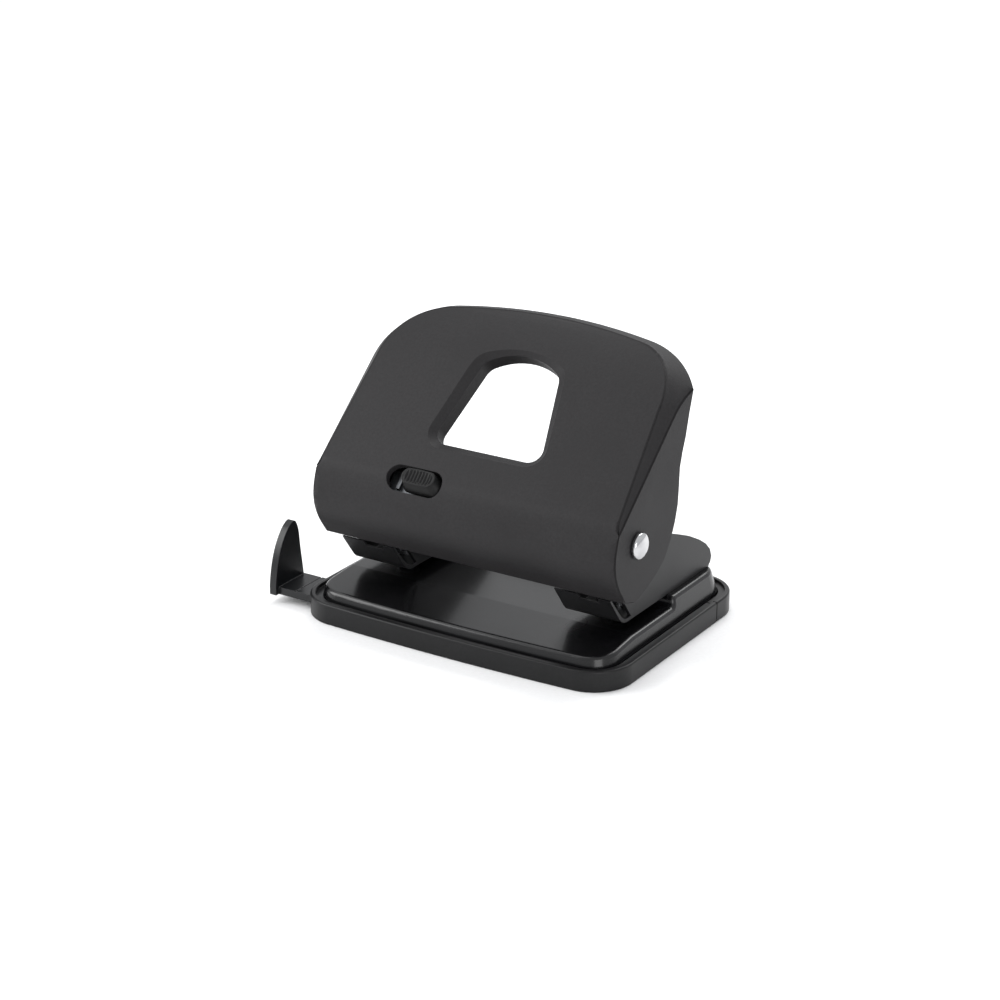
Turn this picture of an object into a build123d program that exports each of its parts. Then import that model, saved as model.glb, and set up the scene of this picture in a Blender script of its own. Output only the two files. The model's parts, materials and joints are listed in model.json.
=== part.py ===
from build123d import *
import math
import os

# Two-hole desk punch, millimetres. X runs left to right, Y from the front to the back, Z up.
# The origin is on the table under the middle of the tray. Heights in the drawing count from the
# top of the tray's foot band, so save() lifts every piece by the height of that band.

# ---- driving dimensions -------------------------------------------------------------------
TRAY_W = 118.0            # tray width
TRAY_D = 89.0             # tray depth at the middle
FOOT_BAND = 0.8           # lowest band of the tray, below the drawing's zero height
TRAY_H = 6.2              # height of the tray rim above that band
TRAY_WALL = 1.6           # tray wall and rim thickness
TRAY_FLOOR = 0.6          # top of the tray's floor
SHELF_DROP = 0.9          # shelf between rim and plate lies this far below the rim
SHELF_GAP = 0.35          # gap between that shelf and the plate
CORNER_R = 14.0           # plan corner radius of the tray
BOW = 1.8                 # how far the front edge bows forward

PLATE_GAP = 3.3           # plan distance from tray edge to the foot of the steel plate
PLATE_T = 1.0             # steel plate thickness
FLOOR_Z = 10.0            # top of the plate where the paper lies
DECK_Z = 13.2             # top of the raised rear part, the paper stop is the step up to it
STOP_Y = 6.5              # face of the paper stop
STEP_TOP_R = 2.0          # rounding where the paper stop meets the raised part
STEP_FOOT_R = 1.6         # rounding at its foot
PLATE_TAPER = 16.0        # draft of the plate's side wall in degrees
PLATE_FOOT = 2.4          # height from which the plate's outline is drafted
LEDGE_TOP = 3.0           # top of the ledge that carries the plate

HOLE_SPACING = 80.0       # distance between the two punched holes
PUNCH_X = HOLE_SPACING / 2
PUNCH_Y = STOP_Y - 12.0   # holes are 12 mm from the paper's edge
PUNCH_R = 2.75
PUNCH_LOW = 13.9          # cutting tip at rest
PUNCH_TOP = 41.4          # head at rest

PIVOT_Y = -22.2
PIVOT_Z = 41.6
SHAFT_R = 2.5

FRAME_IN = 30.0           # inner face of each punch frame
FRAME_OUT = 50.0          # outer face
FRAME_T = 1.2             # frame sheet thickness

SHELL_HALF = 55.8         # half width of the handle
SHELL_T = 2.4
FACE_Y = -23.0            # a point on the handle's front face
FACE_Z = 60.1
FACE_ANGLE = 44.2         # slope of the front face above the table
FACE_TOP = 50.0           # length of the face above that point
RIM_DEPTH = 8.0           # the bevelled rim falls back this far behind the face
RIM_TOP = 56.0            # length up to the rim's back edge, measured like FACE_TOP
CROWN_FROM = 26.0         # above this length the face curves gently backwards
CROWN_R = 90.0            # radius of that curve

os.makedirs("parts", exist_ok=True)


def save(name, shape):
    """Write one named piece, lifted onto the table."""
    export_step(Pos(0, 0, FOOT_BAND) * shape, f"parts/{name}.step")


def box(x0, x1, y0, y1, z0, z1):
    """Block between two corners."""
    return Pos((x0 + x1) / 2, (y0 + y1) / 2, (z0 + z1) / 2) * Box(x1 - x0, y1 - y0, z1 - z0)


def rod(radius, x, y, z0, z1):
    """Upright round bar."""
    return Pos(x, y, (z0 + z1) / 2) * Cylinder(radius, z1 - z0)


def cross_rod(radius, x0, x1, y, z):
    """Round bar along X."""
    return Pos((x0 + x1) / 2, y, z) * Rot(0, 90, 0) * Cylinder(radius, abs(x1 - x0))


def side_prism(points, x0, x1):
    """Side view outline in Y and Z, pulled out between two X positions."""
    outline = Plane.YZ * make_face(Polyline(*points, close=True))
    return extrude(Pos(x0, 0, 0) * outline, amount=x1 - x0, dir=(1, 0, 0))


def plan_outline(inset):
    """Plan outline of the base with bowed front edge, moved in by inset."""
    half = TRAY_W / 2 - inset
    back = TRAY_D / 2 - inset
    front = -TRAY_D / 2 + inset
    side_front = front + BOW
    r = CORNER_R - inset
    front_edge = ThreePointArc((-half, side_front), (0, front), (half, side_front))
    sides = Polyline((half, side_front), (half, back), (-half, back), (-half, side_front))
    face = make_face(front_edge + sides)
    return fillet(face.vertices(), r)


# ---- tray ---------------------------------------------------------------------------------
GUIDE_Y0 = -37.0
GUIDE_Y1 = -22.8
GUIDE_Z0 = 2.0
GUIDE_Z1 = 4.6
DOOR_Y = 25.5             # slit in the right side where the chad door ends
DOOR_X = 24.0             # hinge position along the back
DOOR_PIN_X = DOOR_X - 2.2
DOOR_PIN_Y = 43.2
DOOR_PIN_R = 0.6
KNUCKLE_R = 1.3


def tray_block(inset, bottom):
    """Solid with the tray's plan outline moved in by inset, from bottom up to the rim's height."""
    return Pos(0, 0, bottom) * extrude(plan_outline(inset), TRAY_H - bottom)


tray_outer = tray_block(0, -FOOT_BAND)
tray_outer = fillet(tray_outer.edges().group_by(Axis.Z)[-1], 0.7)
tray_outer = chamfer(tray_outer.edges().group_by(Axis.Z)[0], 0.3)
tray_skin = tray_outer - tray_block(TRAY_WALL, TRAY_FLOOR)
door_zone = box(DOOR_X, 70, DOOR_Y, 60, 0.3 - FOOT_BAND, TRAY_H + 1)
door_gap = box(DOOR_X - 0.9, 70, DOOR_Y - 0.5, 60, -2, TRAY_H + 1)
wall_band = tray_outer - tray_block(TRAY_WALL, -2)
wall_cut = tray_block(-1, -2) - tray_block(TRAY_WALL + 0.3, -2)
guide_slot = box(-70, -50, GUIDE_Y0 - 0.4, GUIDE_Y1 + 0.4, GUIDE_Z0 - 0.4, GUIDE_Z1 + 0.5)
tray = tray_skin - (wall_cut & door_gap) - guide_slot
# inner ledge that carries the foot of the steel plate
guide_way = box(-70, 70, GUIDE_Y0 - 0.4, GUIDE_Y1 + 0.4, 0, 5)
guide_way = guide_way + box(-70, 0, GUIDE_Y0 - 0.4, GUIDE_Y1 + 0.4, 0, 9)
ledge = extrude(plan_outline(PLATE_GAP - 0.4), LEDGE_TOP)
ledge = ledge - extrude(plan_outline(PLATE_GAP + 1.6), LEDGE_TOP)
tray = tray + (ledge - guide_way - box(DOOR_X - 8, 70, DOOR_Y - 9, 60, 0, 9))
# shelf that closes the groove between the rim and the plate's drafted wall
shelf_foot = LEDGE_TOP - 0.5
shelf_height = TRAY_H - SHELF_DROP - shelf_foot
shelf = Pos(0, 0, shelf_foot) * extrude(plan_outline(TRAY_WALL - 0.2), shelf_height)
plate_room = Pos(0, 0, PLATE_FOOT) * extrude(
    plan_outline(PLATE_GAP - SHELF_GAP), 14, taper=PLATE_TAPER
)
shelf = shelf - plate_room
fixed_shelf = shelf - box(DOOR_PIN_X - 3.5, 70, DOOR_Y - 0.5, 60, 0, 9) - guide_way
tray = tray + fixed_shelf
# seat for the chad door's knuckle, open to the outside
tray = tray - rod(KNUCKLE_R + 0.4, DOOR_PIN_X, DOOR_PIN_Y, 2.0, 9)
tray = tray - box(DOOR_PIN_X, DOOR_X, DOOR_PIN_Y - 1.7, 50, 2.0, 9)
tray = tray - box(DOOR_PIN_X - 2.2, DOOR_X, DOOR_PIN_Y + 0.5, 50, 2.0, 9)
tray = tray - rod(DOOR_PIN_R, DOOR_PIN_X, DOOR_PIN_Y, 0.8, 9)
# rail that keeps the paper guide square
rail_back = box(-52.5, 44, GUIDE_Y1 + 0.3, GUIDE_Y1 + 1.5, TRAY_FLOOR - 0.3, GUIDE_Z1)
tray = tray + rail_back
save("base_tray", tray)

door_shelf = shelf & box(DOOR_X + 3.0, 70, DOOR_Y, 60, LEDGE_TOP + 1.0, TRAY_H)
door = (wall_band & door_zone) + door_shelf
knuckle = rod(KNUCKLE_R, DOOR_PIN_X, DOOR_PIN_Y, 2.3, 5.9)
knuckle_web = box(DOOR_PIN_X, DOOR_X + 1.0, DOOR_PIN_Y - 0.2, DOOR_PIN_Y + 1.1, 2.3, 5.9)
door = door + knuckle + knuckle_web - rod(DOOR_PIN_R + 0.05, DOOR_PIN_X, DOOR_PIN_Y, 0, 9)
save("chad_door", door)
save("door_pin", rod(DOOR_PIN_R, DOOR_PIN_X, DOOR_PIN_Y, 0.8, 6.1))

# ---- steel base plate ---------------------------------------------------------------------


def plate_block(inset, drop):
    """Solid under the plate's skin: drafted sides, sloping front, step to the raised rear deck."""
    block = Pos(0, 0, PLATE_FOOT) * extrude(plan_outline(inset), 14, taper=PLATE_TAPER)
    top = [
        (-60, 0),
        (-60, 7.9 - drop),
        (-41, 8.3 - drop),
        (-19, FLOOR_Z - drop),
        (STOP_Y + drop, FLOOR_Z - drop),
        (STOP_Y + 0.9 + drop, DECK_Z - drop),
        (60, DECK_Z - drop),
        (60, 0),
    ]
    side = make_face(Polyline(*top, close=True))
    head = [v for v in side.vertices() if abs(v.X - STOP_Y) < 2.5 and v.Y > DECK_Z - drop - 0.1]
    side = fillet(head, STEP_TOP_R - drop)
    foot = [v for v in side.vertices() if abs(v.X - STOP_Y) < 1.5 and 5 < v.Y < FLOOR_Z - drop + 0.1]
    side = fillet(foot, STEP_FOOT_R + drop)
    return block & extrude(Pos(-80, 0, 0) * (Plane.YZ * side), amount=160, dir=(1, 0, 0))


plate_out = plate_block(PLATE_GAP, 0)
rim_edges = [e for e in plate_out.edges() if e.center().Z > 7.5 and abs(e.center().X) > 2]
front_back = [e for e in plate_out.edges() if e.center().Z > 7.5 and abs(e.center().Y) > 35]
plate_out = fillet(ShapeList(set(rim_edges + front_back)), 1.6)
plate_in = plate_block(PLATE_GAP + PLATE_T, PLATE_T)
plate = plate_out - plate_in - box(-80, 80, -60, 60, 0, 3.1)
# notch in the left wall for the paper guide
plate = plate - box(-70, -47, GUIDE_Y0 - 0.5, GUIDE_Y1 + 0.5, 0, GUIDE_Z1 + 0.5)
DIE_R = 5.5
for sx in (-1, 1):
    plate = plate - rod(DIE_R, sx * PUNCH_X, PUNCH_Y, 5, 12)
RIVETS = [(sx * PUNCH_X, y) for sx in (-1, 1) for y in (17.0, 31.0)]
for x, y in RIVETS:
    plate = plate - rod(1.5, x, y, 9, 16)
# way out for the chads below the rim, behind the chad door
plate = plate - box(DOOR_X + 2, 70, DOOR_Y + 3, 60, 0, 5.6)
save("base_plate", plate)

for side, sx in (("left", -1), ("right", 1)):
    x = sx * PUNCH_X
    ring = rod(DIE_R, x, PUNCH_Y, FLOOR_Z - PLATE_T - 0.8, FLOOR_Z) + rod(7.0, x, PUNCH_Y, 8.0, 9.0)
    ring = ring - rod(PUNCH_R + 0.15, x, PUNCH_Y, 5, 12)
    save(f"die_{side}", ring)

# ---- punch frames -------------------------------------------------------------------------
LIP_BEND_Y = -20.1
for side, sx in (("left", -1), ("right", 1)):
    x0 = min(sx * FRAME_IN, sx * FRAME_OUT)
    x1 = max(sx * FRAME_IN, sx * FRAME_OUT)
    floor_line = [
        (36.0, DECK_Z),
        (LIP_BEND_Y + 2.6, DECK_Z),
        (LIP_BEND_Y + 0.9, DECK_Z + 0.35),
        (LIP_BEND_Y - 0.7, DECK_Z + 1.2),
        (LIP_BEND_Y - 2.1, DECK_Z + 2.6),
        (-28.2, 23.9),
        (-27.3, 23.9),
        (LIP_BEND_Y - 1.2, DECK_Z + 3.4),
        (LIP_BEND_Y + 0.1, DECK_Z + 2.2),
        (LIP_BEND_Y + 1.3, DECK_Z + 1.5),
        (LIP_BEND_Y + 2.6, DECK_Z + FRAME_T),
        (36.0, DECK_Z + FRAME_T),
    ]
    frame = side_prism(floor_line, x0, x1)
    cheek_line = [
        (-14.2, DECK_Z),
        (-14.6, DECK_Z + 0.6),
        (-27.0, 30.5),
        (-27.0, PIVOT_Z),
        (-26.4, PIVOT_Z + 2.2),
        (-24.7, PIVOT_Z + 4.0),
        (-22.2, PIVOT_Z + 4.7),
        (-19.0, PIVOT_Z + 3.9),
        (-9.0, 41.0),
        (0.5, 36.4),
        (10.9, 32.8),
        (15.6, 31.0),
        (22.3, 28.2),
        (29.2, 24.6),
        (33.5, 21.8),
        (36.4, 19.0),
        (37.6, 16.2),
        (36.9, 14.2),
        (35.2, DECK_Z),
    ]
    for cx in (x0, x1 - FRAME_T):
        frame = frame + side_prism(cheek_line, cx, cx + FRAME_T)
    frame = frame - cross_rod(SHAFT_R + 0.03, -60, 60, PIVOT_Y, PIVOT_Z)
    frame = frame - rod(4.0, sx * PUNCH_X, PUNCH_Y, 12, 16)
    # notch in the lip's top edge, in front of the pin
    notch_x = sx * PUNCH_X + 2.0
    frame = frame - box(notch_x - 3.5, notch_x + 3.5, -30, -25.0, 22.0, 27)
    for x, y in RIVETS:
        frame = frame - rod(1.5, x, y, 12, 16)
    save(f"frame_{side}", frame)

    # guide bush round the pin
    x = sx * PUNCH_X
    bush = rod(3.95, x, PUNCH_Y, DECK_Z + 0.1, 22.0) + rod(6.6, x, PUNCH_Y, DECK_Z + FRAME_T, 15.6)
    bush = bush - rod(PUNCH_R + 0.05, x, PUNCH_Y, 12, 24)
    save(f"guide_bush_{side}", bush)

rivets = []
for x, y in RIVETS:
    shank = rod(1.5, x, y, 11.2, 15.2)
    head = Pos(x, y, DECK_Z + FRAME_T) * (Sphere(2.9) & Pos(0, 0, 2.0) * Box(9, 9, 4))
    head = head & rod(4, x, y, DECK_Z + FRAME_T, DECK_Z + FRAME_T + 1.5)
    tail = rod(2.5, x, y, 11.2, DECK_Z - PLATE_T)
    rivets.append(shank + head + tail)
save("frame_rivets", Compound(rivets))

# ---- shaft, caps, spacer and washers ------------------------------------------------------
save("pivot_shaft", cross_rod(SHAFT_R, -57.0, 57.0, PIVOT_Y, PIVOT_Z))
spacer = cross_rod(3.9, -29.7, 29.7, PIVOT_Y, PIVOT_Z)
spacer = spacer - cross_rod(SHAFT_R + 0.05, -31, 31, PIVOT_Y, PIVOT_Z)
save("shaft_spacer", spacer)
CAP_R = 4.3
CAP_BASE = 56.05
CAP_TOP = 58.5
CAP_BALL_R = 5.8
for side, sx in (("left", -1), ("right", 1)):
    ring = cross_rod(4.6, sx * 50.12, sx * 50.92, PIVOT_Y, PIVOT_Z)
    ring = ring - cross_rod(SHAFT_R + 0.05, -60, 60, PIVOT_Y, PIVOT_Z)
    save(f"shaft_washer_{side}", ring)
    # domed cap, a slice of a ball on a short skirt, with a blind bore for the shaft's end
    ball = Pos(0, 0, CAP_TOP - CAP_BALL_R) * Sphere(CAP_BALL_R)
    cap = ball & rod(CAP_R, 0, 0, CAP_BASE + 0.55, CAP_TOP + 1)
    cap = cap + rod(CAP_R, 0, 0, CAP_BASE, CAP_BASE + 0.56)
    cap = cap - rod(SHAFT_R, 0, 0, CAP_BASE - 1, 57.02)
    cap = Pos(0, PIVOT_Y, PIVOT_Z) * Rot(0, 90 * sx, 0) * cap
    save(f"shaft_cap_{side}", cap)

# ---- punch pins, clips and springs --------------------------------------------------------
CLIP_Z = 37.6
for side, sx in (("left", -1), ("right", 1)):
    x = sx * PUNCH_X
    pin = rod(PUNCH_R, x, PUNCH_Y, PUNCH_LOW, PUNCH_TOP)
    pin = chamfer(pin.edges().sort_by(Axis.Z)[-1], 0.5)
    pin = pin - (rod(4, x, PUNCH_Y, CLIP_Z, CLIP_Z + 0.8) - rod(2.1, x, PUNCH_Y, CLIP_Z, CLIP_Z + 0.8))
    tip = Pos(x, PUNCH_Y, PUNCH_LOW - 7.4) * Rot(90, 0, 0) * Cylinder(8.4, 8)
    save(f"punch_pin_{side}", pin - tip)
    clip = rod(5.4, x, PUNCH_Y, CLIP_Z, CLIP_Z + 0.8) - rod(2.1, x, PUNCH_Y, 30, 42)
    clip = clip - box(x - 1.6, x + 1.6, PUNCH_Y - 7, PUNCH_Y, 30, 42)
    save(f"punch_clip_{side}", clip)
    turns = Helix(pitch=2.9, height=20.4, radius=4.95)
    wire = Circle(0.42)
    coil = sweep(Plane(origin=turns @ 0, z_dir=turns % 0) * wire, turns, is_frenet=True)
    save(f"punch_spring_{side}", Pos(x, PUNCH_Y, 16.35) * coil)

# ---- handle shell -------------------------------------------------------------------------
a = math.radians(FACE_ANGLE)
FACE = Plane(origin=(0, FACE_Y, FACE_Z), x_dir=(1, 0, 0), z_dir=(0, -math.sin(a), math.cos(a)))


def at_face(s, c):
    """Side view point: s up along the face, c out from it."""
    y = FACE_Y + s * math.cos(a) - c * math.sin(a)
    z = FACE_Z + s * math.sin(a) + c * math.cos(a)
    return (y, z)


def face_outline(low, high, top, arch_drop, r, depth):
    """Outline on a plane behind the face: half widths at foot and top, arched top, round corners."""
    shoulder = top - arch_drop
    side = Polyline((-high, shoulder), (-low, -30.0), (low, -30.0), (high, shoulder))
    arch = ThreePointArc((high, shoulder), (0, top), (-high, shoulder))
    outline = make_face(side + arch)
    corners = outline.vertices().group_by(Axis.Y)[-1]
    return FACE.offset(-depth) * fillet(corners, r)


def shell_block(inset):
    """Outside of the handle moved in by inset: flat face, bevel that widens upwards, straight sides."""
    half = SHELL_HALF - inset
    k = inset * 0.42
    wide = inset * 1.41
    face = face_outline(55.6 - k, 50.8 - k, FACE_TOP - inset * 0.55, 5.6, 21.0 - k, inset)
    rim = face_outline(63.6 - wide, 59.2 - wide, RIM_TOP - inset * 1.2, 8.6, 30.0 - wide, RIM_DEPTH)
    body = extrude(rim, amount=-60, dir=FACE.z_dir)
    if body.bounding_box().max.Z > 110:
        body = extrude(rim, amount=60, dir=FACE.z_dir * -1)
    lid = loft([face, rim]) + body
    return lid & box(-half, half, -80, 80, 0, 140)


nose = [(-29.1, 24.8), (-33.0, 30.4), (-35.3, 36.0), (-35.6, 41.2), (-34.4, 46.2)]
bend = at_face(-11.5, 0)


def crown_drop(s):
    """How far the face has curved back at length s, a circle of the crown's radius."""
    run = max(0.0, s - CROWN_FROM)
    return CROWN_R - math.sqrt(CROWN_R * CROWN_R - run * run)


def side_solid(inset):
    """Side view of the handle pulled across the width: curved nose, straight face, shaped back."""
    half = SHELL_HALF - inset
    face_low = at_face(-11.5, -inset)
    crown_start = at_face(CROWN_FROM, -inset)
    crown_end = at_face(58.0, -inset - crown_drop(58.0))
    crown_mid = at_face(42.0, -inset - crown_drop(42.0))
    ring = [(y + inset * ny, z + inset * nz) for (y, z), (ny, nz) in zip(nose, NOSE_IN)]
    curve = Spline(*ring, face_low, tangents=[(-0.57, 0.82), (math.cos(a), math.sin(a))])
    top_back = at_face(58.0, -RIM_DEPTH) if inset == 0 else at_face(58.0, -60.0)
    if inset == 0:
        back = [
            at_face(40.0, -RIM_DEPTH),
            (8.8, 74.9),
            (6.7, 67.4),
            (5.0, 63.3),
            (3.6, 58.5),
            (3.2, 51.4),
            (2.8, 46.6),
            (1.2, 41.4),
            (-1.2, 36.4),
            (-5.0, 31.2),
            (-9.5, 28.2),
            (-15.6, 25.4),
            (-20.8, 23.7),
            (-24.4, 23.4),
        ]
    else:
        back = [(60, 10), (ring[0][0] + 1.5, 10)]
    front = Line(face_low, crown_start) + ThreePointArc(crown_start, crown_mid, crown_end)
    line = front + Polyline(crown_end, top_back, *back, ring[0])
    outline = Plane.YZ * make_face(curve + line)
    return extrude(Pos(-half, 0, 0) * outline, amount=2 * half, dir=(1, 0, 0))


NOSE_IN = [(0.80, 0.60), (0.88, 0.47), (0.98, 0.15), (0.99, -0.12), (0.88, -0.48)]
outer = side_solid(0) & shell_block(0)
inner = side_solid(SHELL_T) & shell_block(SHELL_T)
shell = outer - inner


def opening_outline(grow, depth):
    """Hand opening in the face: straight foot, leaning sides, arched top."""
    foot = 20.2 + grow
    head = 14.0 + grow
    low = 1.4 - grow
    shoulder = 31.5 + grow
    crown = 36.6 + grow
    base_line = Polyline((-head, shoulder), (-foot, low), (foot, low), (head, shoulder))
    arch = ThreePointArc((head, shoulder), (0, crown), (-head, shoulder))
    outline = make_face(base_line + arch)
    foot_corners = outline.vertices().group_by(Axis.Y)[0]
    outline = fillet(foot_corners, 4.4 + grow * 0.8)
    head_corners = [v for v in outline.vertices() if v.Y > shoulder - 1]
    return FACE.offset(-depth) * fillet(head_corners, 5.0 + grow * 0.8)


COLLAR_DEPTH = 6.9
collar = extrude(opening_outline(2.0, COLLAR_DEPTH), amount=COLLAR_DEPTH - 1.6, dir=FACE.z_dir)
mouth = extrude(opening_outline(0.0, 12.0), amount=16, dir=FACE.z_dir)
bevel = loft([opening_outline(0.0, 1.9), opening_outline(2.7, -0.1)])
shell = shell + collar - mouth - bevel

# slot of the lock button
LOCK_X = -18.7
LOCK_S = -13.2
slot_face = FACE.offset(-9.0) * Pos(LOCK_X, LOCK_S, 0) * SlotOverall(20.5, 8.4)
lock_slot = extrude(slot_face, amount=14, dir=FACE.z_dir)
shell = shell - lock_slot

# screw bosses for the press lever, behind the lower face
LEVER_C = -7.4
LEVER_T = 1.5
BOSSES = [(sx * bx, s) for sx in (-1, 1) for bx, s in ((10.0, -4.2), (27.0, -4.2))]
for bx, s in BOSSES:
    boss = FACE.offset(LEVER_C) * Pos(bx, s, 0) * Circle(2.6)
    shell = shell + extrude(boss, amount=-LEVER_C - 1.2, dir=FACE.z_dir)
for bx, s in BOSSES:
    pilot = FACE.offset(LEVER_C) * Pos(bx, s, 0) * Circle(1.1)
    shell = shell - extrude(pilot, amount=4.2, dir=FACE.z_dir)
shell = shell - cross_rod(SHAFT_R + 0.06, -60, 60, PIVOT_Y, PIVOT_Z)
save("handle_shell", shell)

# ---- press lever --------------------------------------------------------------------------
EAR_IN = 51.2
EAR_OUT = 52.7
sheet_line = [
    at_face(-17.0, LEVER_C),
    at_face(-0.6, LEVER_C),
    at_face(-0.6, LEVER_C - LEVER_T),
    at_face(-17.0, LEVER_C - LEVER_T),
]
sheet = side_prism(sheet_line, -EAR_OUT, EAR_OUT)
ear_line = [
    at_face(-17.0, LEVER_C),
    at_face(-0.6, LEVER_C),
    at_face(-2.6, -13.0),
    at_face(-7.0, -18.6),
    at_face(-12.3, -20.4),
    at_face(-16.6, -18.2),
    at_face(-18.2, -13.8),
]
lever = sheet
for lo in (-EAR_OUT, EAR_IN):
    lever = lever + side_prism(ear_line, lo, lo + EAR_OUT - EAR_IN)
lever = lever - cross_rod(SHAFT_R + 0.05, -60, 60, PIVOT_Y, PIVOT_Z)
tongue_line = [
    at_face(-2.1, LEVER_C - 1.0),
    at_face(-0.6, LEVER_C - 0.2),
    (-5.9, 43.9),
    (-5.1, 43.0),
    (-5.1, 42.3),
    (-5.6, 41.7),
    (-6.6, 41.5),
    (-8.4, 42.0),
]
for sx in (-1, 1):
    lever = lever + side_prism(tongue_line, sx * PUNCH_X - 7.0, sx * PUNCH_X + 7.0)
for bx, s in BOSSES:
    hole = FACE.offset(LEVER_C - 3) * Pos(bx, s, 0) * Circle(1.5)
    lever = lever - extrude(hole, amount=5, dir=FACE.z_dir)
save("press_lever", lever)


def on_face(x, s, c, sketch, height):
    """Sketch placed at x and s on the plane c above the face, pulled outward by height."""
    return extrude(FACE.offset(c) * Pos(x, s, 0) * sketch, amount=height, dir=FACE.z_dir)


screws = []
for bx, s in BOSSES:
    head = on_face(bx, s, LEVER_C - LEVER_T - 1.4, Circle(2.6), 1.4)
    shank = on_face(bx, s, LEVER_C - LEVER_T - 0.4, Circle(1.08), 5.0)
    recess = on_face(bx, s, LEVER_C - LEVER_T - 1.5, Rectangle(2.6, 0.6), 0.8)
    screws.append(head + shank - recess)
save("lever_screws", Compound(screws))

# ---- lock slide, button and leaf spring ---------------------------------------------------
BUTTON_X = -16.1
CREST_X = BUTTON_X - 1.2
CREST_S = LOCK_S + 0.9
RIBS = 9
RIB_PITCH = 1.15
pad = on_face(BUTTON_X, LOCK_S, -2.2, SlotOverall(15.0, 7.4), 2.0)
ribs = on_face(CREST_X, CREST_S, -0.3, SlotOverall(12.4, 5.4), 0.9)
for i in range(RIBS):
    groove_x = CREST_X + (i - (RIBS - 1) / 2) * RIB_PITCH
    ribs = ribs - on_face(groove_x, CREST_S, 0.35, Rectangle(0.45, 4.0), 0.5)
stem = on_face(BUTTON_X, LOCK_S, -5.3, Rectangle(7.0, 3.4), 3.4)
save("lock_button", pad + ribs + stem)

slide = on_face(BUTTON_X - 2.0, LOCK_S, -6.5, Rectangle(24.0, 7.6), 1.2)
slide_lug = on_face(BUTTON_X - 9.6, LOCK_S, -5.4, Rectangle(1.2, 5.0), 1.4)
save("lock_slide", slide + slide_lug)

# leaf spring with its foot flat on the inside of the face, its free end lies along the slide
LEAF_S = LOCK_S + 4.35
leaf = on_face(-1.3, LEAF_S, -6.4, Rectangle(21.4, 0.5), 3.9)
leaf_foot = on_face(4.0, LEAF_S + 1.15, -2.95, Rectangle(6.0, 2.8), 0.5)
save("lock_spring", leaf + leaf_foot)

# ---- paper guide --------------------------------------------------------------------------
ARM_OUT = -72.2
ARM_IN = 34.0
arm = box(ARM_OUT, ARM_IN, GUIDE_Y0, GUIDE_Y1, GUIDE_Z0, GUIDE_Z1)
fin_line = [
    (-38.5, GUIDE_Z0),
    (-38.5, 5.0),
    (-37.3, 11.6),
    (-34.9, 17.8),
    (-32.0, 22.0),
    (-29.2, 24.3),
    (-27.4, 24.7),
    (-26.0, 23.0),
    (-24.8, 16.7),
    (-23.6, 8.0),
    (-23.1, 4.4),
    (-22.9, GUIDE_Z0),
]
fin_curve = Spline(*fin_line[1:-1])
fin_base = Polyline(fin_line[-2], fin_line[-1], fin_line[0], fin_line[1])
fin_face = Plane.YZ * make_face(fin_curve + fin_base)
fin = extrude(Pos(ARM_OUT, 0, 0) * fin_face, amount=2.6, dir=(1, 0, 0))
guide = arm + fin
guide = guide - box(-62.9, -62.4, GUIDE_Y0 - 1, GUIDE_Y1 + 1, GUIDE_Z1 - 0.25, GUIDE_Z1 + 1)
save("paper_guide", guide)

bridge = box(-30, -18, GUIDE_Y0 - 1.3, GUIDE_Y1 + 1.5, GUIDE_Z1 + 0.1, GUIDE_Z1 + 0.9)
bridge = bridge + box(-30, -18, GUIDE_Y0 - 1.3, GUIDE_Y0 - 0.3, TRAY_FLOOR, GUIDE_Z1 + 0.9)
save("guide_bridge", bridge)
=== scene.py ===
# %% [markdown]
# # A two-hole desk punch
# This lesson dresses a measured frame of a desk punch: a black plastic handle, a glossy enamelled base
# plate in a plastic tray, two small steel brackets with the punches, chromed hinge caps and a pull-out
# paper guide. The frame gives every place and size. Most of its parts only lack what a tool maker adds
# last: softened edges and a finish. The springs, the hinge caps and the lock button are made anew here.

# %% Load the frame
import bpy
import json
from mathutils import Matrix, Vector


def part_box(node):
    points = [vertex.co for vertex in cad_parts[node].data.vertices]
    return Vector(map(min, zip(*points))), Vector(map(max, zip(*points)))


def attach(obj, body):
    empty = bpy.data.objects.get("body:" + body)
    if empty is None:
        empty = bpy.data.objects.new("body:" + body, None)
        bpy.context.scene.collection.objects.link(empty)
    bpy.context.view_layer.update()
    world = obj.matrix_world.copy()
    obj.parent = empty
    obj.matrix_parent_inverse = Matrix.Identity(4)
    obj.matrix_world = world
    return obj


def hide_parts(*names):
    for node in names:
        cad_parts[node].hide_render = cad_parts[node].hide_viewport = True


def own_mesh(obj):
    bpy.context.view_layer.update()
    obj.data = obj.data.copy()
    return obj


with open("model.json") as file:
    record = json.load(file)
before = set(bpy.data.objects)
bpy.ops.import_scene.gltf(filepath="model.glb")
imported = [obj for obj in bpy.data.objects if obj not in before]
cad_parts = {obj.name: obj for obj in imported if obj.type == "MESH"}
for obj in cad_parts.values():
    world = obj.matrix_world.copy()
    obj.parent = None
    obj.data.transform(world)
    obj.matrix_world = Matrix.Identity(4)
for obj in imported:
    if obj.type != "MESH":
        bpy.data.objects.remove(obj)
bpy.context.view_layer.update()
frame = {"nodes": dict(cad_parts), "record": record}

# %% [markdown]
# Everything is in metres, but a desk tool is thought of in millimetres, so one constant turns one into the
# other. Points are numpy arrays, because whole arrays are quicker and clearer than loops over vertices.

# %% Units and libraries
import json
import math
import bpy
import bmesh
import numpy as np

MM = 0.001
bodies = {node: body for body, nodes in frame["record"]["behaviour"]["bodies"].items() for node in nodes}
print("frame nodes:", len(bodies))

# %% [markdown]
# ## Meshes from functions
# A surface is a grid of points worked out from two parameters. The grid's rows can close on themselves, as
# round a tube, and its first and last row can shrink to one point, as at the pole of a dome. Joining the
# points to four-sided faces is the same for every shape, so it is done once here. If the enclosed volume
# comes out negative the faces look inwards, and they are turned over.

# %% Grid to mesh


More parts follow.
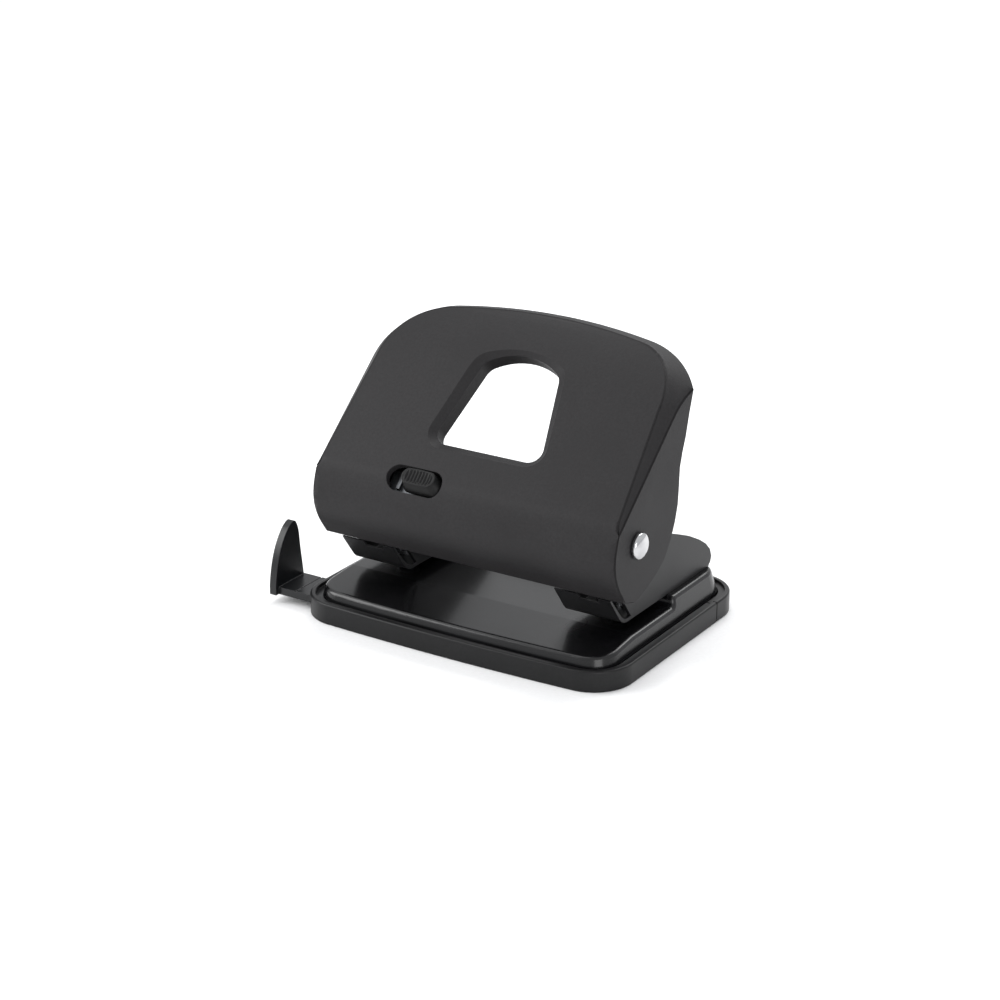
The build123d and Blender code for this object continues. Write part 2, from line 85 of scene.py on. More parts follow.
def signed_volume(points, faces):
    """Sum over triangles of a . (b x c) / 6, positive where the faces look outwards."""
    a, b, c, d = (points[faces[:, k]] for k in range(4))
    first = np.einsum("ij,ij->i", a, np.cross(b, c)).sum()
    second = np.einsum("ij,ij->i", a, np.cross(c, d)).sum()
    return (first + second) / 6


def grid_piece(name, grid, body):
    """A closed piece from rows of points: each row is a closed ring, and both end rows are capped."""
    rows, columns = grid.shape[:2]
    points = grid.reshape(-1, 3)
    start_pole = len(points)
    points = np.vstack([points, grid[0].mean(0), grid[-1].mean(0)])
    i, j = np.meshgrid(np.arange(rows - 1), np.arange(columns), indexing="ij")
    k = (j + 1) % columns
    quads = np.stack([i * columns + j, (i + 1) * columns + j, (i + 1) * columns + k, i * columns + k], -1)
    quads = quads.reshape(-1, 4)
    ring = np.arange(columns)
    after = (ring + 1) % columns
    last = (rows - 1) * columns
    start_cap = np.stack([ring, after, np.full(columns, start_pole)], -1)
    end_cap = np.stack([last + after, last + ring, np.full(columns, start_pole + 1)], -1)
    if signed_volume(points, quads) < 0:
        quads, start_cap, end_cap = quads[:, ::-1], start_cap[:, ::-1], end_cap[:, ::-1]
    mesh = bpy.data.meshes.new(name)
    mesh.from_pydata(points.tolist(), [], quads.tolist() + start_cap.tolist() + end_cap.tolist())
    mesh.validate()
    mesh.shade_smooth()
    piece = bpy.data.objects.new(name, mesh)
    bpy.context.scene.collection.objects.link(piece)
    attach(piece, body)
    print(name, "points:", len(points))
    return piece


# %% [markdown]
# ## The handle's sloping face
# Several things are placed on the handle's flat front: the creases round it and the lock button. A point
# there is given by its place across the face, up along it and out from it, as on a flat plane. The face
# is flat up to a certain length and then curves gently backwards on a circle, which is not followed here.

# %% Face of the handle
FACE_ANGLE = math.radians(44.2)
FACE_POINT = np.array([0.0, -23.0, 60.9]) * MM
ALONG = np.array([0.0, math.cos(FACE_ANGLE), math.sin(FACE_ANGLE)])
OUTWARD = np.array([0.0, -math.sin(FACE_ANGLE), math.cos(FACE_ANGLE)])
ACROSS = np.array([1.0, 0.0, 0.0])


def on_face(x, s, c):
    """Point from its place across the face, up along it and out from it."""
    return FACE_POINT + x[..., None] * ACROSS + s[..., None] * ALONG + c[..., None] * OUTWARD


print("face tilt in degrees:", round(math.degrees(FACE_ANGLE), 1))

# %% [markdown]
# ## Softened copies of frame parts
# Moulded plastic and pressed steel have no razor edges: a mould is cut with a round tool, and sheet rolls
# over where it is sheared. That small round is what catches a thin line of light along an edge. A frame part
# is loose triangles, so a copy of it is merged and its flat areas are joined, and a Bevel modifier then
# rounds each sharp edge by a real radius. The copy stands for the frame part.
#
# The handle has fine creases moulded round its face, one where the face meets the bevelled rim and one
# where the rim meets the cheek. Each is a shallow V: the edge is split into two strips, and the line
# between the strips is pushed inwards along its normal. An edge is known as a crease by how far its two
# faces bend, where they look, and its place: outside the hand opening, above the nose, or at the cheek.

# %% Moulded creases
CREASE_HALF = 0.42 * MM
CREASE_DEPTH = 0.75 * MM
CREASE_BEND = math.radians(9)
CHEEK_X = 55.0 * MM
CHEEK_SQUARE = 0.97
OPENING_SIDE = 36 * MM
OPENING_TOP = 40 * MM
NOSE_UP = -30 * MM
FACE_FLAT = 0.02
RIM_TILT = 0.1
RIM_OUT = 0.4


def is_crease(edge):
    """Face to rim: both sides look outwards, far from the opening. Rim to cheek: one side looks along X."""
    if len(edge.link_faces) != 2 or edge.calc_face_angle(0) < CREASE_BEND:
        return False
    middle = (np.array(edge.verts[0].co) + np.array(edge.verts[1].co)) / 2
    normals = [np.array(face.normal) for face in edge.link_faces]
    out = [float(normal @ OUTWARD) for normal in normals]
    sideways = [abs(normal[0]) > CHEEK_SQUARE for normal in normals]
    up = float((middle - FACE_POINT) @ ALONG)
    if any(sideways):
        front = [n[1] < -0.05 or o > 0.2 for n, o, cheek in zip(normals, out, sideways) if not cheek]
        return abs(middle[0]) > CHEEK_X and bool(front) and all(front)
    far = abs(middle[0]) > OPENING_SIDE or up > OPENING_TOP
    flat_side = min(abs(normal[0]) for normal in normals) < FACE_FLAT
    tilted = max(out) - min(out) > RIM_TILT
    return far and flat_side and tilted and min(out) > RIM_OUT and up > NOSE_UP


def cut_creases(work):
    """Splits the crease edges into two strips and pushes the line between them inwards."""
    work.normal_update()
    chosen = [edge for edge in work.edges if is_crease(edge)]
    corners = list({vert for edge in chosen for vert in edge.verts})
    made = bmesh.ops.bevel(
        work,
        geom=chosen + corners,
        offset=CREASE_HALF,
        offset_type="OFFSET",
        segments=2,
        profile=0.5,
        affect="EDGES",
        clamp_overlap=False,
    )
    work.normal_update()
    strips = set(made["faces"])
    inner = [vert for vert in made["verts"] if vert.is_valid and all(f in strips for f in vert.link_faces)]
    moved = [vert.co - vert.normal * CREASE_DEPTH for vert in inner]
    for vert, place in zip(inner, moved):
        vert.co = place
    work.normal_update()
    print("crease edges:", len(chosen), "pushed points:", len(inner))
    return strips


# %% Softened copy
MERGE = 0.002 * MM
FLAT = math.radians(0.4)
SHARP = math.radians(28)
ROUND_SEGMENTS = 3
FACE_WEIGHT = 80


def softened(node, radius):
    """A copy of a frame node with its sharp edges rounded by radius in millimetres."""
    mesh = frame["nodes"][node].data.copy()
    work = bmesh.new()
    work.from_mesh(mesh)
    bmesh.ops.remove_doubles(work, verts=work.verts, dist=MERGE)
    bmesh.ops.dissolve_degenerate(work, edges=work.edges, dist=MERGE)
    bmesh.ops.dissolve_limit(work, verts=work.verts, edges=work.edges, angle_limit=FLAT)
    for face in work.faces:
        face.smooth = True
    strips = cut_creases(work) if node == "handle_shell" else set()
    for face in strips:
        face.smooth = False
    weight = work.edges.layers.float.new("bevel_weight_edge")
    for edge in work.edges:
        plain = not any(face in strips for face in edge.link_faces)
        edge[weight] = float(plain and edge.calc_face_angle(0) > SHARP)
    work.to_mesh(mesh)
    work.free()
    name = node + "_soft"
    piece = bpy.data.objects.new(name, mesh)
    bpy.context.scene.collection.objects.link(piece)
    bevel = piece.modifiers.new("edge round", "BEVEL")
    bevel.width = radius * MM
    bevel.segments = ROUND_SEGMENTS
    bevel.limit_method = "WEIGHT"
    bevel.use_clamp_overlap = True
    bevel.harden_normals = False
    even = piece.modifiers.new("even shading", "WEIGHTED_NORMAL")
    even.keep_sharp = False
    even.weight = FACE_WEIGHT
    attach(piece, bodies[node])
    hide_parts(node)
    print(name, "faces:", len(mesh.polygons))
    return piece


# each part's edge radius in millimetres
EDGE_ROUND = {
    "handle_shell": 0.45,
    "base_tray": 0.3,
    "chad_door": 0.25,
    "paper_guide": 0.35,
    "frame_left": 0.2,
    "frame_right": 0.2,
    "press_lever": 0.2,
}
soft = {node: softened(node, radius) for node, radius in EDGE_ROUND.items()}

# %% [markdown]
# ## Hinge caps
# The ends of the pivot shaft carry chromed push-on caps, turned from steel and polished before plating.
# A turned part is a profile carried round an axis, so each cap is a lathe surface: a low dome that rolls
# over into a short skirt, with a blind bore at the back that takes the shaft.

# %% Turned caps
TURN_STEPS = 72
DOME_STEPS = 22
DOME_FULLNESS = 0.85
SKIRT_SHARE = 0.24
BORE_R = 2.5 * MM
BORE_DEPTH = 0.96 * MM
BORE_CHAMFER = 0.12 * MM


def cap_profile(radius, height):
    """Rows of (radius, height): a flattened quarter ellipse, then a skirt, a flat back and the bore."""
    t = np.linspace(0.02, 1, DOME_STEPS) * math.pi / 2
    skirt = SKIRT_SHARE * height
    dome = np.stack([radius * np.sin(t), skirt + (height - skirt) * np.cos(t) ** DOME_FULLNESS], -1)
    edge = np.array([[radius, skirt * 0.5], [radius, 0.06 * height], [radius * 0.985, 0.0]])
    mouth = np.array([[BORE_R + BORE_CHAMFER, 0.0], [BORE_R, BORE_CHAMFER]])
    floor = np.array([[BORE_R, BORE_DEPTH], [BORE_R * 0.2, BORE_DEPTH]])
    return np.vstack([dome, edge, mouth, floor])


def turned_cap(side, sign):
    """Lathe round the X axis: point = (face + sign h, y0 + r cos a, z0 + r sin a)."""
    low, high = (np.array(corner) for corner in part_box("shaft_cap_" + side))
    centre = (low + high) / 2
    height = high[0] - low[0]
    profile = cap_profile((high[2] - low[2]) / 2, height)
    face = low[0] if sign > 0 else high[0]
    a = np.linspace(0, 2 * math.pi, TURN_STEPS, endpoint=False)
    r, h = profile[:, :1], profile[:, 1:]
    x = np.broadcast_to(face + sign * h, (len(profile), TURN_STEPS))
    grid = np.stack([x, centre[1] + r * np.cos(a), centre[2] + r * np.sin(a)], -1)
    piece = grid_piece("hinge_cap_" + side, grid, "base")
    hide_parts("shaft_cap_" + side)
    return piece


caps = [turned_cap("left", -1), turned_cap("right", 1)]

# %% [markdown]
# ## Return springs
# A compression spring is round wire wound on a rod. Its end turns are wound close and ground flat, so the
# pitch grows smoothly from dead to live turns. The wire is a small circle carried along the helix, turned
# with the path so that it stays square to it.

# %% Wound springs
WIRE_R = 0.42 * MM
DEAD_TURN = 1.0
TURNS = 8.0
STEPS_PER_TURN = 40
WIRE_STEPS = 12
CLOSE_PITCH = 2.2 * WIRE_R


def wound_spring(side):
    """Helix of the coil's radius whose height follows a smooth ramp, with a circle of wire carried along."""
    low, high = (np.array(corner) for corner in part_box("punch_spring_" + side))
    centre = (low + high) / 2
    coil_r = (high[0] - low[0]) / 2 - WIRE_R
    span = high[2] - low[2] - 2 * WIRE_R
    t = np.linspace(0, 1, int(TURNS * STEPS_PER_TURN))
    turn = t * TURNS
    live = np.clip((turn - DEAD_TURN) / (TURNS - 2 * DEAD_TURN), 0, 1)
    dead = np.clip(turn / DEAD_TURN, 0, 1) + np.clip((turn - TURNS + DEAD_TURN) / DEAD_TURN, 0, 1)
    z = low[2] + WIRE_R + CLOSE_PITCH * dead + (span - 2 * CLOSE_PITCH) * live
    a = turn * 2 * math.pi
    path = np.stack([centre[0] + coil_r * np.cos(a), centre[1] + coil_r * np.sin(a), z], -1)
    out = np.stack([np.cos(a), np.sin(a), np.zeros_like(a)], -1)
    along = np.gradient(path, axis=0)
    along /= np.linalg.norm(along, axis=1, keepdims=True)
    up = np.cross(along, out)
    w = np.linspace(0, 2 * math.pi, WIRE_STEPS, endpoint=False)
    wire = np.cos(w)[None, :, None] * out[:, None] + np.sin(w)[None, :, None] * up[:, None]
    grid = path[:, None] + WIRE_R * wire
    piece = grid_piece("return_spring_" + side, grid, "base")
    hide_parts("punch_spring_" + side)
    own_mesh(piece)
    return piece


springs = [wound_spring("left"), wound_spring("right")]

# %% [markdown]
# ## Lock button
# The button that locks the handle down is a small moulded pad. Its foot is a rounded oblong, its top a
# smaller one shifted up the slope, dished for the fingertip and crossed by ribs for grip. Rings are drawn
# from the middle of the top outwards and down the side, each ring an oblong whose size, shift and height
# are smooth functions of the ring's number. The ribs are added to the height where a ring is on the pad.

# %% Ribbed pad
RIB_PITCH = 1.15 * MM
RIB_COUNT = 9
RIB_HEIGHT = 0.28 * MM
PAD_STEPS = 240
PAD_UP = -13.2 * MM
TOP_LENGTH = 12.2 * MM
TOP_WIDTH = 5.4 * MM
FLARE_LENGTH = 2.7 * MM
FLARE_WIDTH = 2.0 * MM
TOP_ASIDE = 1.2 * MM
TOP_UP = 0.9 * MM
TOP_HEIGHT = 0.62 * MM
FOOT_DEPTH = 2.75 * MM
DISH_DEPTH = 0.32 * MM
BROW_DROP = 0.12 * MM


def oblong(length, width, angle):
    """Stadium outline: a straight middle of length - width between two half circles of that width."""
    r = width / 2
    end = np.sign(np.cos(angle)) * np.clip(np.abs(np.cos(angle)) * 3, 0, 1)
    return r * np.cos(angle) + end * (length - width) / 2, r * np.sin(angle)


def smooth(t):
    """3 t^2 - 2 t^3 on the clipped range 0 to 1."""
    t = np.clip(t, 0, 1)
    return t * t * (3 - 2 * t)


def lock_pad():
    """Rings 0 to 1 cover the ribbed top, rings 1 to 2 the flared side, rings 2 to 3 the flat foot."""
    low, high = (np.array(corner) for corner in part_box("lock_button"))
    x_mid = (low[0] + high[0]) / 2
    zones = [np.linspace(0.02, 1, 50), np.linspace(1.03, 2, 28), np.linspace(2.1, 2.95, 12)]
    ring = np.concatenate(zones)[:, None]
    angle = np.linspace(0, 2 * math.pi, PAD_STEPS, endpoint=False)[None, :]
    top, side, foot = np.clip(ring, 0, 1), np.clip(ring - 1, 0, 1), np.clip(ring - 2, 0, 1)
    flare = side ** 1.6
    length = (TOP_LENGTH + FLARE_LENGTH * flare) * top * (1 - foot)
    width = (TOP_WIDTH + FLARE_WIDTH * flare) * top * (1 - foot)
    x_out, s_out = oblong(length, width, angle)
    x = x_mid - TOP_ASIDE * (1 - flare) + x_out
    s = PAD_UP + TOP_UP * (1 - flare) + s_out
    inside = smooth((0.86 - ring) / 0.1)
    along_ribs = x - x_mid + TOP_ASIDE
    rib = 0.5 + 0.5 * np.cos(2 * math.pi * along_ribs / RIB_PITCH)
    in_row = np.abs(along_ribs) < RIB_COUNT / 2 * RIB_PITCH
    dish = DISH_DEPTH * smooth((0.93 - ring) / 0.45)
    brow = BROW_DROP * smooth((ring - 0.95) / 0.12) * (1 - smooth((ring - 1) / 0.15))
    c = TOP_HEIGHT - dish - brow + RIB_HEIGHT * smooth(rib * 1.3) * inside * in_row
    c = c - (TOP_HEIGHT + FOOT_DEPTH) * side ** 1.25
    piece = grid_piece("lock_pad", on_face(x, s, c), "lock")
    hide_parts("lock_button")
    return piece


pad = lock_pad()

# %% [markdown]
# ## Colour
# Colours are written as the sRGB hex values a picture editor shows. Blender mixes light in linear values,
# so one function turns each channel: c / 12.92 below 0.04045, else ((c + 0.055) / 1.055) ^ 2.4.

# %% Hex to linear, and one function that adds a node


def srgb(code):
    """Linear colour with alpha from a hex string."""
    c = np.array([int(code[i:i + 2], 16) for i in (1, 3, 5)]) / 255
    linear = np.where(c <= 0.04045, c / 12.92, ((c + 0.055) / 1.055) ** 2.4)
    return (*linear.tolist(), 1.0)


def add(material, kind, settings=None, **inputs):
    """Adds a node. Settings are its properties. An input is a value, or an output socket to link, and
    is named by its label, or as i0, i1 and so on where labels repeat."""
    made = material.node_tree.nodes.new(kind)
    for key, value in (settings or {}).items():
        setattr(made, key, value)
    for key, value in inputs.items():
        numbered = key[0] == "i" and key[1:].isdigit()
        socket = made.inputs[int(key[1:]) if numbered else key.replace("_", " ")]
        if isinstance(value, bpy.types.NodeSocket):
            material.node_tree.links.new(value, socket)
        else:
            socket.default_value = value
    return made


def finish(name):
    """An empty material with object coordinates, its surface shader and its output."""
    material = bpy.data.materials.new(name)
    material.use_nodes = True
    material.node_tree.nodes.clear()
    where = add(material, "ShaderNodeTexCoord").outputs["Object"]
    shader = add(material, "ShaderNodeBsdfPrincipled")
    add(material, "ShaderNodeOutputMaterial", Surface=shader.outputs["BSDF"])
    return material, where, shader


def per(size):
    """Texture scale for a feature of this many millimetres."""
    return 1 / (size * MM)


def link(material, output, socket):
    """Joins an output to a shader's socket."""
    material.node_tree.links.new(output, socket)


print("mid grey is", round(srgb("#808080")[0], 3), "in linear light")

# %% [markdown]
# ## Spark-eroded ABS
# The handle, tray and guide are injection-moulded ABS. The mould of the handle was spark-eroded, which
# leaves a fine sandy grain of about a third of a millimetre and a dull, even sheen. The tray and guide come
# from a smoother tool. They and the lock button differ only in colour, grain and gloss, so one function
# makes them all. Grain is a bump, handling marks are a slow change of roughness, and dust lightens the
# colour slightly: a Map Range stretches part of a pattern to 0 to 1, and a Mix blends two tones by it.

# %% Moulded plastic
ABS_IOR = 1.53
MARKS_MM = 22
DUST_MM = 0.9
TIMES = {"operation": "MULTIPLY"}
PLUS = {"operation": "ADD"}
TWO_TONES = {"data_type": "RGBA"}


def moulded_plastic(name, dark, light, rough, grain_mm, grain_depth_mm, marks, shine):
    """ABS: dielectric, grain as bump, slow cloudy change in gloss, faint dust in the colour."""
    material, where, shader = finish(name)
    cloud = add(material, "ShaderNodeTexNoise", Vector=where, Scale=per(MARKS_MM), Detail=3.0, Roughness=0.55)
    dust = add(material, "ShaderNodeTexNoise", Vector=where, Scale=per(DUST_MM), Detail=2.0, Roughness=0.6)
    speck = add(material, "ShaderNodeMath", TIMES, i0=cloud.outputs[0], i1=dust.outputs[0])
    tone = add(material, "ShaderNodeMapRange", Value=speck.outputs[0], From_Min=0.15, From_Max=0.42)
    tint = add(material, "ShaderNodeMix", TWO_TONES, i0=tone.outputs[0], i6=srgb(dark), i7=srgb(light))
    link(material, tint.outputs[2], shader.inputs["Base Color"])
    gloss = add(
        material,
        "ShaderNodeMapRange",
        Value=cloud.outputs[0],
        From_Min=0.3,
        From_Max=0.7,
        To_Min=rough - marks,
        To_Max=rough + marks,
    )
    link(material, gloss.outputs[0], shader.inputs["Roughness"])
    rounded = {"feature": "SMOOTH_F1"}
    coarse = add(material, "ShaderNodeTexVoronoi", rounded, Vector=where, Scale=per(grain_mm))
    fine = add(material, "ShaderNodeTexNoise", Vector=where, Scale=per(grain_mm * 0.6), Detail=2.0)
    height = add(material, "ShaderNodeMath", PLUS, i0=coarse.outputs["Distance"], i1=fine.outputs[0])
    deep = grain_depth_mm * MM
    bump = add(material, "ShaderNodeBump", Height=height.outputs[0], Distance=deep, Strength=1.0)
    link(material, bump.outputs["Normal"], shader.inputs["Normal"])
    shader.inputs["IOR"].default_value = ABS_IOR
    shader.inputs["Specular IOR Level"].default_value = shine
    return material


# dull charcoal black, sandy to the touch, soft wide highlights; the grain of a third of a millimetre is
# too fine to show, so it is drawn a little coarser, at 0.42 mm
HANDLE = moulded_plastic("abs_spark_eroded_black", "#242324", "#292829", 0.52, 0.42, 0.018, 0.035, 0.155)
# deeper black with a satin skin, highlights a little tighter, over a shallow ripple 0.9 mm wide
TRAY = moulded_plastic("abs_satin_black", "#0e0e0f", "#151516", 0.38, 0.9, 0.008, 0.04, 0.25)
# smooth thin moulding, slightly blue black, its ripple wider and shallower still
GUIDE = moulded_plastic("abs_smooth_black", "#0c0d0f", "#16171a", 0.33, 1.2, 0.006, 0.03, 0.35)
# the darkest of the four, with a finer grain than the handle, drawn coarse enough to show
BUTTON = moulded_plastic("abs_fine_grain_black", "#090909", "#101011", 0.45, 0.35, 0.006, 0.04, 0.2)
print("plastics:", [m.name for m in (HANDLE, TRAY, GUIDE, BUTTON)])

# %% [markdown]
# ## Enamel and lacquer on steel
# The base plate is dipped in black enamel: deep, wet-looking, with a faint orange-peel ripple a few
# millimetres wide where the coat flowed before it set. The brackets are powder coated: the same black but
# duller, pebbled at about half a millimetre. Both are a coloured coat on metal, so they are dielectric.

# %% Painted steel
PAINT_IOR = 1.52
HAZE_MM = 24


def painted_steel(name, dark, light, rough, peel_mm, peel_depth_mm, coat, coat_rough, shine):
    """Paint: ripple of the film as bump, a slow haze in colour and gloss, optional clear top coat."""
    material, where, shader = finish(name)
    film = add(material, "ShaderNodeTexNoise", Vector=where, Scale=per(peel_mm), Detail=1.5, Roughness=0.4)
    haze = add(material, "ShaderNodeTexNoise", Vector=where, Scale=per(HAZE_MM), Detail=1.5, Roughness=0.4)
    tone = add(material, "ShaderNodeMapRange", Value=haze.outputs[0], From_Min=0.35, From_Max=0.7)
    tint = add(material, "ShaderNodeMix", TWO_TONES, i0=tone.outputs[0], i6=srgb(dark), i7=srgb(light))
    link(material, tint.outputs[2], shader.inputs["Base Color"])
    gloss = add(
        material,
        "ShaderNodeMapRange",
        Value=haze.outputs[0],
        From_Min=0.3,
        From_Max=0.75,
        To_Min=rough * 0.9,
        To_Max=rough * 1.15,
    )
    link(material, gloss.outputs[0], shader.inputs["Roughness"])
    bump = add(material, "ShaderNodeBump", Height=film.outputs[0], Distance=peel_depth_mm * MM, Strength=1.0)
    link(material, bump.outputs["Normal"], shader.inputs["Normal"])
    shader.inputs["IOR"].default_value = PAINT_IOR
    shader.inputs["Specular IOR Level"].default_value = shine
    shader.inputs["Coat Weight"].default_value = coat
    shader.inputs["Coat Roughness"].default_value = coat_rough
    return material


# wet black, mirror-like reflections with a faint ripple
ENAMEL = painted_steel("enamel_gloss_black", "#050506", "#0c0c0e", 0.24, 3.5, 0.012, 0.25, 0.12, 0.34)
# semi-matt black, pebbled, highlights blurred
POWDER = painted_steel("powder_coat_black", "#161617", "#202021", 0.36, 0.55, 0.02, 0.0, 0.1, 0.24)
print("paints:", ENAMEL.name, POWDER.name)

# %% [markdown]
# ## Bare metals
# The shaft, rivets, bushes, door pin and leaf spring are drawn steel with fine lines along the drawing
# direction. The punches and dies are ground round, the lock slide is steel darkened to paint the shade deep
# in its slot, the coil springs, screws, clips, spacer and washers are zinc plated, and the caps are chromed
# over polished steel. A metal has no diffuse colour: its base colour is the tint of its reflection, and its
# lines live in the roughness.
# Drawing and grinding lines are a few hundredths of a millimetre apart, too fine to show, so they are
# drawn as coarse as 0.2 to 0.25 mm.

# %% Bare metal
SMUDGE_MM = 3.0


def bare_metal(name, tint, worn, rough, line_mm, stretch, depth_mm):
    """Metal: lines from noise stretched along one axis, in roughness and as a very shallow bump."""
    material, where, shader = finish(name)
    turned = add(material, "ShaderNodeMapping", Vector=where, Scale=stretch)
    lines = add(material, "ShaderNodeTexNoise", Vector=turned.outputs[0], Scale=per(line_mm), Detail=3.0)
    smudge = add(
        material, "ShaderNodeTexNoise", Vector=where, Scale=per(SMUDGE_MM), Detail=3.0, Roughness=0.6
    )
    tone = add(material, "ShaderNodeMapRange", Value=smudge.outputs[0], From_Min=0.35, From_Max=0.75)
    shade = add(material, "ShaderNodeMix", TWO_TONES, i0=tone.outputs[0], i6=srgb(tint), i7=srgb(worn))
    link(material, shade.outputs[2], shader.inputs["Base Color"])
    both = add(material, "ShaderNodeMath", TIMES, i0=lines.outputs[0], i1=smudge.outputs[0])
    gloss = add(
        material,
        "ShaderNodeMapRange",
        Value=both.outputs[0],
        From_Min=0.1,
        From_Max=0.45,
        To_Min=rough * 0.7,
        To_Max=rough * 1.4,
    )
    link(material, gloss.outputs[0], shader.inputs["Roughness"])
    bump = add(material, "ShaderNodeBump", Height=lines.outputs[0], Distance=depth_mm * MM, Strength=1.0)
    link(material, bump.outputs["Normal"], shader.inputs["Normal"])
    shader.inputs["Metallic"].default_value = 1.0
    return material


ALONG_X = (0.06, 1.0, 1.0)
ROUND_Z = (0.05, 0.05, 1.0)
EVEN = (1.0, 1.0, 1.0)
# clean grey steel with lines along its length
DRAWN = bare_metal("steel_drawn", "#b4b6b9", "#9c9ea2", 0.3, 0.25, ALONG_X, 0.002)
# brighter, with fine rings round the pin
GROUND = bare_metal("steel_ground", "#c6c8cb", "#b0b2b6", 0.2, 0.2, ROUND_Z, 0.0015)
# darker steel: painted shade for the slide deep in its slot
SLOT_SHADE_STEEL = bare_metal("steel_painted_slot_shade", "#6c6e71", "#55575a", 0.42, 0.5, EVEN, 0.003)
# faintly blue grey, a little dull
ZINC = bare_metal("steel_zinc_plated", "#a9acb2", "#8f9298", 0.33, 0.6, EVEN, 0.003)
# near-white mirror with faint finger haze
CHROME = bare_metal("chrome_polished", "#cdcdce", "#b9b9bb", 0.12, 1.5, EVEN, 0.001)
print("metals:", [m.name for m in (DRAWN, GROUND, SLOT_SHADE_STEEL, ZINC, CHROME)])

# %% [markdown]
# ## Which part wears which finish
# Every frame part and new piece gets one finish. A part that has a softened copy passes its finish on.

# %% Dress the parts
FINISHES = {
    "handle_shell": (HANDLE, "handle_plastic"),
    "base_tray": (TRAY, "tray_plastic"),
    "chad_door": (TRAY, "tray_plastic"),
    "guide_bridge": (TRAY, "tray_plastic"),
    "paper_guide": (GUIDE, "guide_plastic"),
    "base_plate": (ENAMEL, "gloss_black_steel"),
    "frame_left": (POWDER, "black_steel"),
    "frame_right": (POWDER, "black_steel"),
    "press_lever": (POWDER, "black_steel"),
    "frame_rivets": (DRAWN, "bright_steel"),
    "die_left": (GROUND, "pin_steel"),
    "die_right": (GROUND, "pin_steel"),
    "guide_bush_left": (DRAWN, "bright_steel"),
    "guide_bush_right": (DRAWN, "bright_steel"),
    "pivot_shaft": (DRAWN, "bright_steel"),
    "shaft_spacer": (ZINC, "bright_steel"),
    "shaft_washer_left": (ZINC, "bright_steel"),
    "shaft_washer_right": (ZINC, "bright_steel"),
    "punch_pin_left": (GROUND, "pin_steel"),
    "punch_pin_right": (GROUND, "pin_steel"),
    "punch_clip_left": (ZINC, "bright_steel"),
    "punch_clip_right": (ZINC, "bright_steel"),
    "lever_screws": (ZINC, "bright_steel"),
    # the slide's darker steel is painted shade of its slot
    "lock_slide": (SLOT_SHADE_STEEL, "bright_steel"),
    "lock_spring": (DRAWN, "spring_steel"),
    "door_pin": (DRAWN, "bright_steel"),
}


def dress(piece, material):
    """The piece's mesh holds this one finish."""
    piece.data.materials.clear()
    piece.data.materials.append(material)


for node, (material, slot) in FINISHES.items():
    dress(frame["nodes"][node], material)
    if node in soft:
        dress(soft[node], material)
for piece, material in zip(caps + springs + [pad], [CHROME] * 2 + [ZINC] * 2 + [BUTTON]):
    dress(piece, material)
print("dressed:", len(FINISHES) + 5)

# %% [markdown]
# ## Table
# The tool stands on a plain white sheet of paper that reaches six metres each way, so its edge shows only
# as a far horizon in a low view. Its fibres change the white by a hair, and it has almost no gloss.

# %% Table
REACH = 6.0
FIBRE_MM = 1.2
table_mesh = bpy.data.meshes.new("table")
corners = [(-REACH, -REACH, 0), (REACH, -REACH, 0), (REACH, REACH, 0), (-REACH, REACH, 0)]
table_mesh.from_pydata(corners, [], [(0, 1, 2, 3)])
table = bpy.data.objects.new("table", table_mesh)
bpy.context.scene.collection.objects.link(table)
paper, place, paper_shader = finish("white_paper_sweep")
fibre = add(paper, "ShaderNodeTexNoise", Vector=place, Scale=per(FIBRE_MM), Detail=2.0)
tone = add(paper, "ShaderNodeMapRange", Value=fibre.outputs[0], From_Min=0.3, From_Max=0.7)
tint = add(paper, "ShaderNodeMix", TWO_TONES, i0=tone.outputs[0], i6=srgb("#f4f4f4"), i7=srgb("#f8f8f8"))
link(paper, tint.outputs[2], paper_shader.inputs["Base Color"])
paper_shader.inputs["Roughness"].default_value = 0.9
paper_shader.inputs["Specular IOR Level"].default_value = 0.1
dress(table, paper)
print("table side in metres:", 2 * REACH)

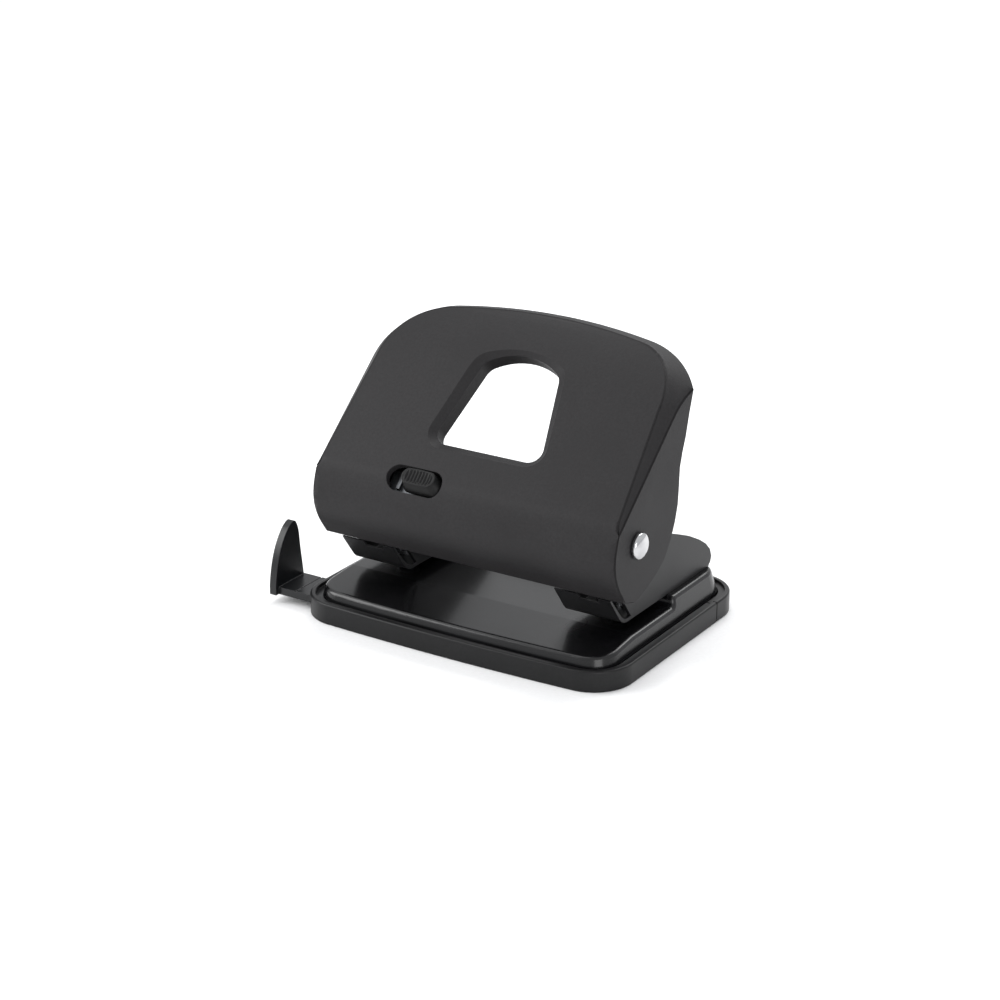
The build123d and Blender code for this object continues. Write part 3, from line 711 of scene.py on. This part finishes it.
# %% [markdown]
# ## Light
# Four square soft lamps, sizes in metres and powers in watts. The strongest is high behind and draws the
# bright line along the top edge. One is low at the left front, one nearly overhead, and one low at the
# right front lights the cheek. A pale sky fills the shadows and is what the enamel reflects.

# %% Lamps and sky
SKY_STRENGTH = 0.85


def soft_lamp(name, place, aim, size, power):
    """A square area lamp turned so that its light falls on the aim point."""
    light = bpy.data.lights.new(name, "AREA")
    light.shape = "SQUARE"
    light.size = size
    light.energy = power
    lamp = bpy.data.objects.new(name, light)
    bpy.context.scene.collection.objects.link(lamp)
    lamp.location = place
    towards = np.array(aim) - np.array(place)
    pitch = math.atan2(np.hypot(towards[0], towards[1]), -towards[2])
    lamp.rotation_euler = (pitch, 0, math.atan2(-towards[0], towards[1]))
    return lamp


AIM = (0, 0, 0.04)
soft_lamp("behind", (-0.05, 0.75, 1.0), AIM, 0.8, 9)
soft_lamp("left_front", (-0.6, -0.4, 0.42), AIM, 0.5, 4.0)
soft_lamp("overhead", (-0.45, 0.0, 1.2), AIM, 0.8, 2.4)
soft_lamp("right_front", (0.95, -0.8, 0.35), AIM, 0.6, 3.6)

world = bpy.data.worlds.new("studio")
world.use_nodes = True
sky = world.node_tree.nodes["Background"]
sky.inputs["Color"].default_value = srgb("#f6f7f9")
sky.inputs["Strength"].default_value = SKY_STRENGTH
bpy.context.scene.world = world
bpy.context.scene.view_settings.view_transform = "Standard"
print("lamps:", len(bpy.data.lights))

# %% [markdown]
# ## Camera
# The camera looks down at the tool from the front right. Its lens is long, so the tool's sides stay
# nearly parallel.

# %% Camera
LENS_MM = 92.7
SENSOR_MM = 36
CAMERA_PLACE = (0.40638, -0.65160, 0.33669)
CAMERA_PITCH = math.radians(68.76)
CAMERA_TURN = math.radians(32.42)
camera_data = bpy.data.cameras.new("product")
camera_data.lens = LENS_MM
camera_data.sensor_width = SENSOR_MM
camera = bpy.data.objects.new("product", camera_data)
bpy.context.scene.collection.objects.link(camera)
camera.location = CAMERA_PLACE
camera.rotation_euler = (CAMERA_PITCH, 0, CAMERA_TURN)
bpy.context.scene.camera = camera
print("camera lens in millimetres:", LENS_MM)
